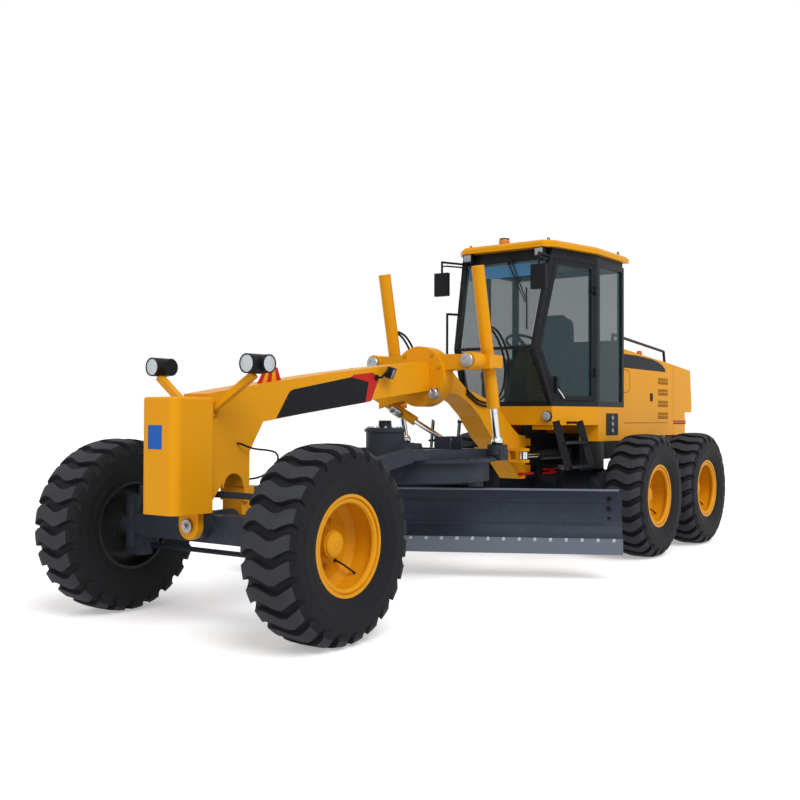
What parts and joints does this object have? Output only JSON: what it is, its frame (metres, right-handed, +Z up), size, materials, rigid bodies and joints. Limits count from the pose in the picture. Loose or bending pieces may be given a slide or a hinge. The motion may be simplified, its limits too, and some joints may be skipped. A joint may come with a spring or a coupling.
{
  "type": "motor grader",
  "caption": "Articulated road grader with an arched front beam, a turning blade under it, a glazed cab and a tandem rear axle; it spreads and levels earth.",
  "frame": {"origin": "on the ground, below the middle of the machine's overall length and width", "axes": "+Z up, front towards -Y, +X to the machine's left"},
  "size_m": [3.2298, 8.97, 3.5],
  "materials": {
    "yellow_paint": "semi-gloss",
    "grey_paint": "semi-gloss",
    "black_paint": "semi-gloss",
    "worn_steel": "bare",
    "rod_chrome": "polished",
    "tyre_rubber": "matte",
    "cab_pane": "clear",
    "seat_cover": "woven",
    "plastic": "matte",
    "engine_iron": "cast"
  },
  "bodies": {
    "rear": {"rear_frame": "black_paint", "tandem_axle": "grey_paint", "engine": "engine_iron", "hood": "yellow_paint", "rear_housing": "yellow_paint", "cab_platform": "yellow_paint", "cab_frame": "black_paint", "cab_glass": "cab_pane", "cab_roof": "yellow_paint", "seat": "seat_cover", "console": "plastic", "ladders": "black_paint", "handrails": "black_paint", "mirrors": "plastic", "lamps": "plastic"},
    "front": {"front_frame": "yellow_paint", "front_box": "yellow_paint", "saddle": "yellow_paint", "lift_yokes": "yellow_paint", "headlamps": "plastic", "front_axle": "grey_paint", "lean_frames": "grey_paint", "lean_bar": "grey_paint", "steer_barrel": "black_paint"},
    "steer_left": {"knuckle_left": "grey_paint"},
    "steer_right": {"knuckle_right": "grey_paint"},
    "tie": {"tie_rod": "grey_paint"},
    "steer_piston": {"steer_rod": "rod_chrome"},
    "drawbar": {"drawbar": "grey_paint", "circle_drive": "grey_paint"},
    "circle": {"circle": "grey_paint"},
    "blade": {"moldboard": "grey_paint", "cutting_edge": "worn_steel"},
    "shift_cylinder": {"shift_barrel": "yellow_paint"},
    "shift_piston": {"shift_rod": "rod_chrome"},
    "door_left": {"door_left": "black_paint", "door_glass_left": "cab_pane"},
    "door_right": {"door_right": "black_paint", "door_glass_right": "cab_pane"},
    "lift_cylinder_left": {"lift_barrel_left": "yellow_paint"},
    "lift_piston_left": {"lift_rod_left": "rod_chrome"},
    "turn_cylinder_left": {"articulation_barrel_left": "black_paint"},
    "turn_piston_left": {"articulation_rod_left": "rod_chrome"},
    "lift_cylinder_right": {"lift_barrel_right": "yellow_paint"},
    "lift_piston_right": {"lift_rod_right": "rod_chrome"},
    "turn_cylinder_right": {"articulation_barrel_right": "black_paint"},
    "turn_piston_right": {"articulation_rod_right": "rod_chrome"},
    "wheel_front_left": {"tyre_front_left": "tyre_rubber", "rim_front_left": "yellow_paint"},
    "wheel_front_right": {"tyre_front_right": "tyre_rubber", "rim_front_right": "yellow_paint"},
    "wheel_middle_left": {"tyre_middle_left": "tyre_rubber", "rim_middle_left": "yellow_paint"},
    "wheel_middle_right": {"tyre_middle_right": "tyre_rubber", "rim_middle_right": "yellow_paint"},
    "wheel_rear_left": {"tyre_rear_left": "tyre_rubber", "rim_rear_left": "yellow_paint"},
    "wheel_rear_right": {"tyre_rear_right": "tyre_rubber", "rim_rear_right": "yellow_paint"}
  },
  "joints": [
    {"name": "articulation", "type": "hinge", "parent": "rear", "child": "front", "pos_m": [0, 0.8, 1.1], "axis": [0, 0, 1], "range_deg": [-27, 27]},
    {"name": "turn_cylinder_left_swing", "type": "hinge", "parent": "rear", "child": "turn_cylinder_left", "pos_m": [0.3, 1.34, 1.13], "axis": [0, 0, 1], "range_deg": [-13, 13]},
    {"name": "turn_piston_left_stroke", "type": "slide", "parent": "turn_cylinder_left", "child": "turn_piston_left", "axis": [-0.0306, -0.9995, 0], "range_m": [-0.14, 0.14]},
    {"name": "turn_cylinder_right_swing", "type": "hinge", "parent": "rear", "child": "turn_cylinder_right", "pos_m": [-0.3, 1.34, 1.13], "axis": [0, 0, 1], "range_deg": [-13, 13]},
    {"name": "turn_piston_right_stroke", "type": "slide", "parent": "turn_cylinder_right", "child": "turn_piston_right", "axis": [0.0306, -0.9995, 0], "range_m": [-0.14, 0.14]},
    {"name": "steer_left", "type": "hinge", "parent": "front", "child": "steer_left", "pos_m": [0.9, -3.81, 0.675], "axis": [0, 0, 1], "range_deg": [-48, 48]},
    {"name": "steer_right", "type": "hinge", "parent": "front", "child": "steer_right", "pos_m": [-0.9, -3.81, 0.675], "axis": [0, 0, 1], "range_deg": [-48, 48]},
    {"name": "tie_rod_pin", "type": "hinge", "parent": "steer_left", "child": "tie", "pos_m": [0.9, -3.61, 0.498], "axis": [0, 0, 1], "range_deg": [-48, 48]},
    {"name": "steer_piston_stroke", "type": "slide", "parent": "front", "child": "steer_piston", "axis": [1, 0, 0], "range_m": [-0.125, 0.125]},
    {"name": "wheel_front_left_spin", "type": "hinge", "parent": "steer_left", "child": "wheel_front_left", "pos_m": [1.078, -3.81, 0.675], "axis": [1, 0, 0], "continuous": true},
    {"name": "wheel_front_right_spin", "type": "hinge", "parent": "steer_right", "child": "wheel_front_right", "pos_m": [-1.078, -3.81, 0.675], "axis": [1, 0, 0], "continuous": true},
    {"name": "wheel_middle_left_spin", "type": "hinge", "parent": "rear", "child": "wheel_middle_left", "pos_m": [1.078, 1.64, 0.675], "axis": [1, 0, 0], "continuous": true},
    {"name": "wheel_middle_right_spin", "type": "hinge", "parent": "rear", "child": "wheel_middle_right", "pos_m": [-1.078, 1.64, 0.675], "axis": [1, 0, 0], "continuous": true},
    {"name": "wheel_rear_left_spin", "type": "hinge", "parent": "rear", "child": "wheel_rear_left", "pos_m": [1.078, 3.178, 0.675], "axis": [1, 0, 0], "continuous": true},
    {"name": "wheel_rear_right_spin", "type": "hinge", "parent": "rear", "child": "wheel_rear_right", "pos_m": [-1.078, 3.178, 0.675], "axis": [1, 0, 0], "continuous": true},
    {"name": "drawbar_lift", "type": "hinge", "parent": "front", "child": "drawbar", "pos_m": [0, -3.47, 0.86], "axis": [1, 0, 0], "range_deg": [-15, 4]},
    {"name": "circle_turn", "type": "hinge", "parent": "drawbar", "child": "circle", "pos_m": [0, -1.15, 1], "axis": [0, 0, 1], "continuous": true},
    {"name": "blade_shift", "type": "slide", "parent": "circle", "child": "blade", "axis": [0.8712, 0.4909, 0], "range_m": [-0.6, 0.6]},
    {"name": "lift_cylinder_left_swing", "type": "hinge", "parent": "front", "child": "lift_cylinder_left", "pos_m": [0.54, -0.82238, 2.05], "axis": [1, 0, 0], "range_deg": [-6, 3]},
    {"name": "lift_piston_left_stroke", "type": "slide", "parent": "lift_cylinder_left", "child": "lift_piston_left", "axis": [0, 0.2178, -0.976], "range_m": [-0.21, 0.76]},
    {"name": "lift_cylinder_right_swing", "type": "hinge", "parent": "front", "child": "lift_cylinder_right", "pos_m": [-0.54, -0.82238, 2.05], "axis": [1, 0, 0], "range_deg": [-6, 3]},
    {"name": "lift_piston_right_stroke", "type": "slide", "parent": "lift_cylinder_right", "child": "lift_piston_right", "axis": [0, 0.2178, -0.976], "range_m": [-0.21, 0.76]},
    {"name": "shift_cylinder_swing", "type": "hinge", "parent": "front", "child": "shift_cylinder", "pos_m": [-0.43, -1.1, 1.66], "axis": [0, 1, 0], "range_deg": [-9, 30]},
    {"name": "shift_piston_stroke", "type": "slide", "parent": "shift_cylinder", "child": "shift_piston", "axis": [0.8865, 0, -0.4628], "range_m": [-0.11, 0.4]},
    {"name": "door_left", "type": "hinge", "parent": "rear", "child": "door_left", "pos_m": [0.72024, 1.14741, 2.4], "axis": [0, 0, 1], "range_deg": [0, 100]},
    {"name": "door_right", "type": "hinge", "parent": "rear", "child": "door_right", "pos_m": [-0.72024, 1.14741, 2.4], "axis": [0, 0, -1], "range_deg": [0, 100]}
  ],
  "couplings": [
    {"joint": "turn_cylinder_left_swing", "follows": "articulation", "ratio": 0.435},
    {"joint": "turn_piston_left_stroke", "follows": "articulation", "m_per_rad": -0.281},
    {"joint": "turn_cylinder_right_swing", "follows": "articulation", "ratio": 0.435},
    {"joint": "turn_piston_right_stroke", "follows": "articulation", "m_per_rad": 0.281},
    {"joint": "steer_right", "follows": "steer_left", "ratio": 1},
    {"joint": "tie_rod_pin", "follows": "steer_left", "ratio": -1},
    {"joint": "steer_piston_stroke", "follows": "steer_left", "m_per_rad": -0.1419},
    {"joint": "lift_cylinder_left_swing", "follows": "drawbar_lift", "ratio": 0.35},
    {"joint": "lift_piston_left_stroke", "follows": "drawbar_lift", "m_per_rad": -2.82},
    {"joint": "lift_cylinder_right_swing", "follows": "drawbar_lift", "ratio": 0.35},
    {"joint": "lift_piston_right_stroke", "follows": "drawbar_lift", "m_per_rad": -2.82},
    {"joint": "shift_cylinder_swing", "follows": "drawbar_lift", "ratio": -1.9},
    {"joint": "shift_piston_stroke", "follows": "drawbar_lift", "m_per_rad": -1.45}
  ]
}
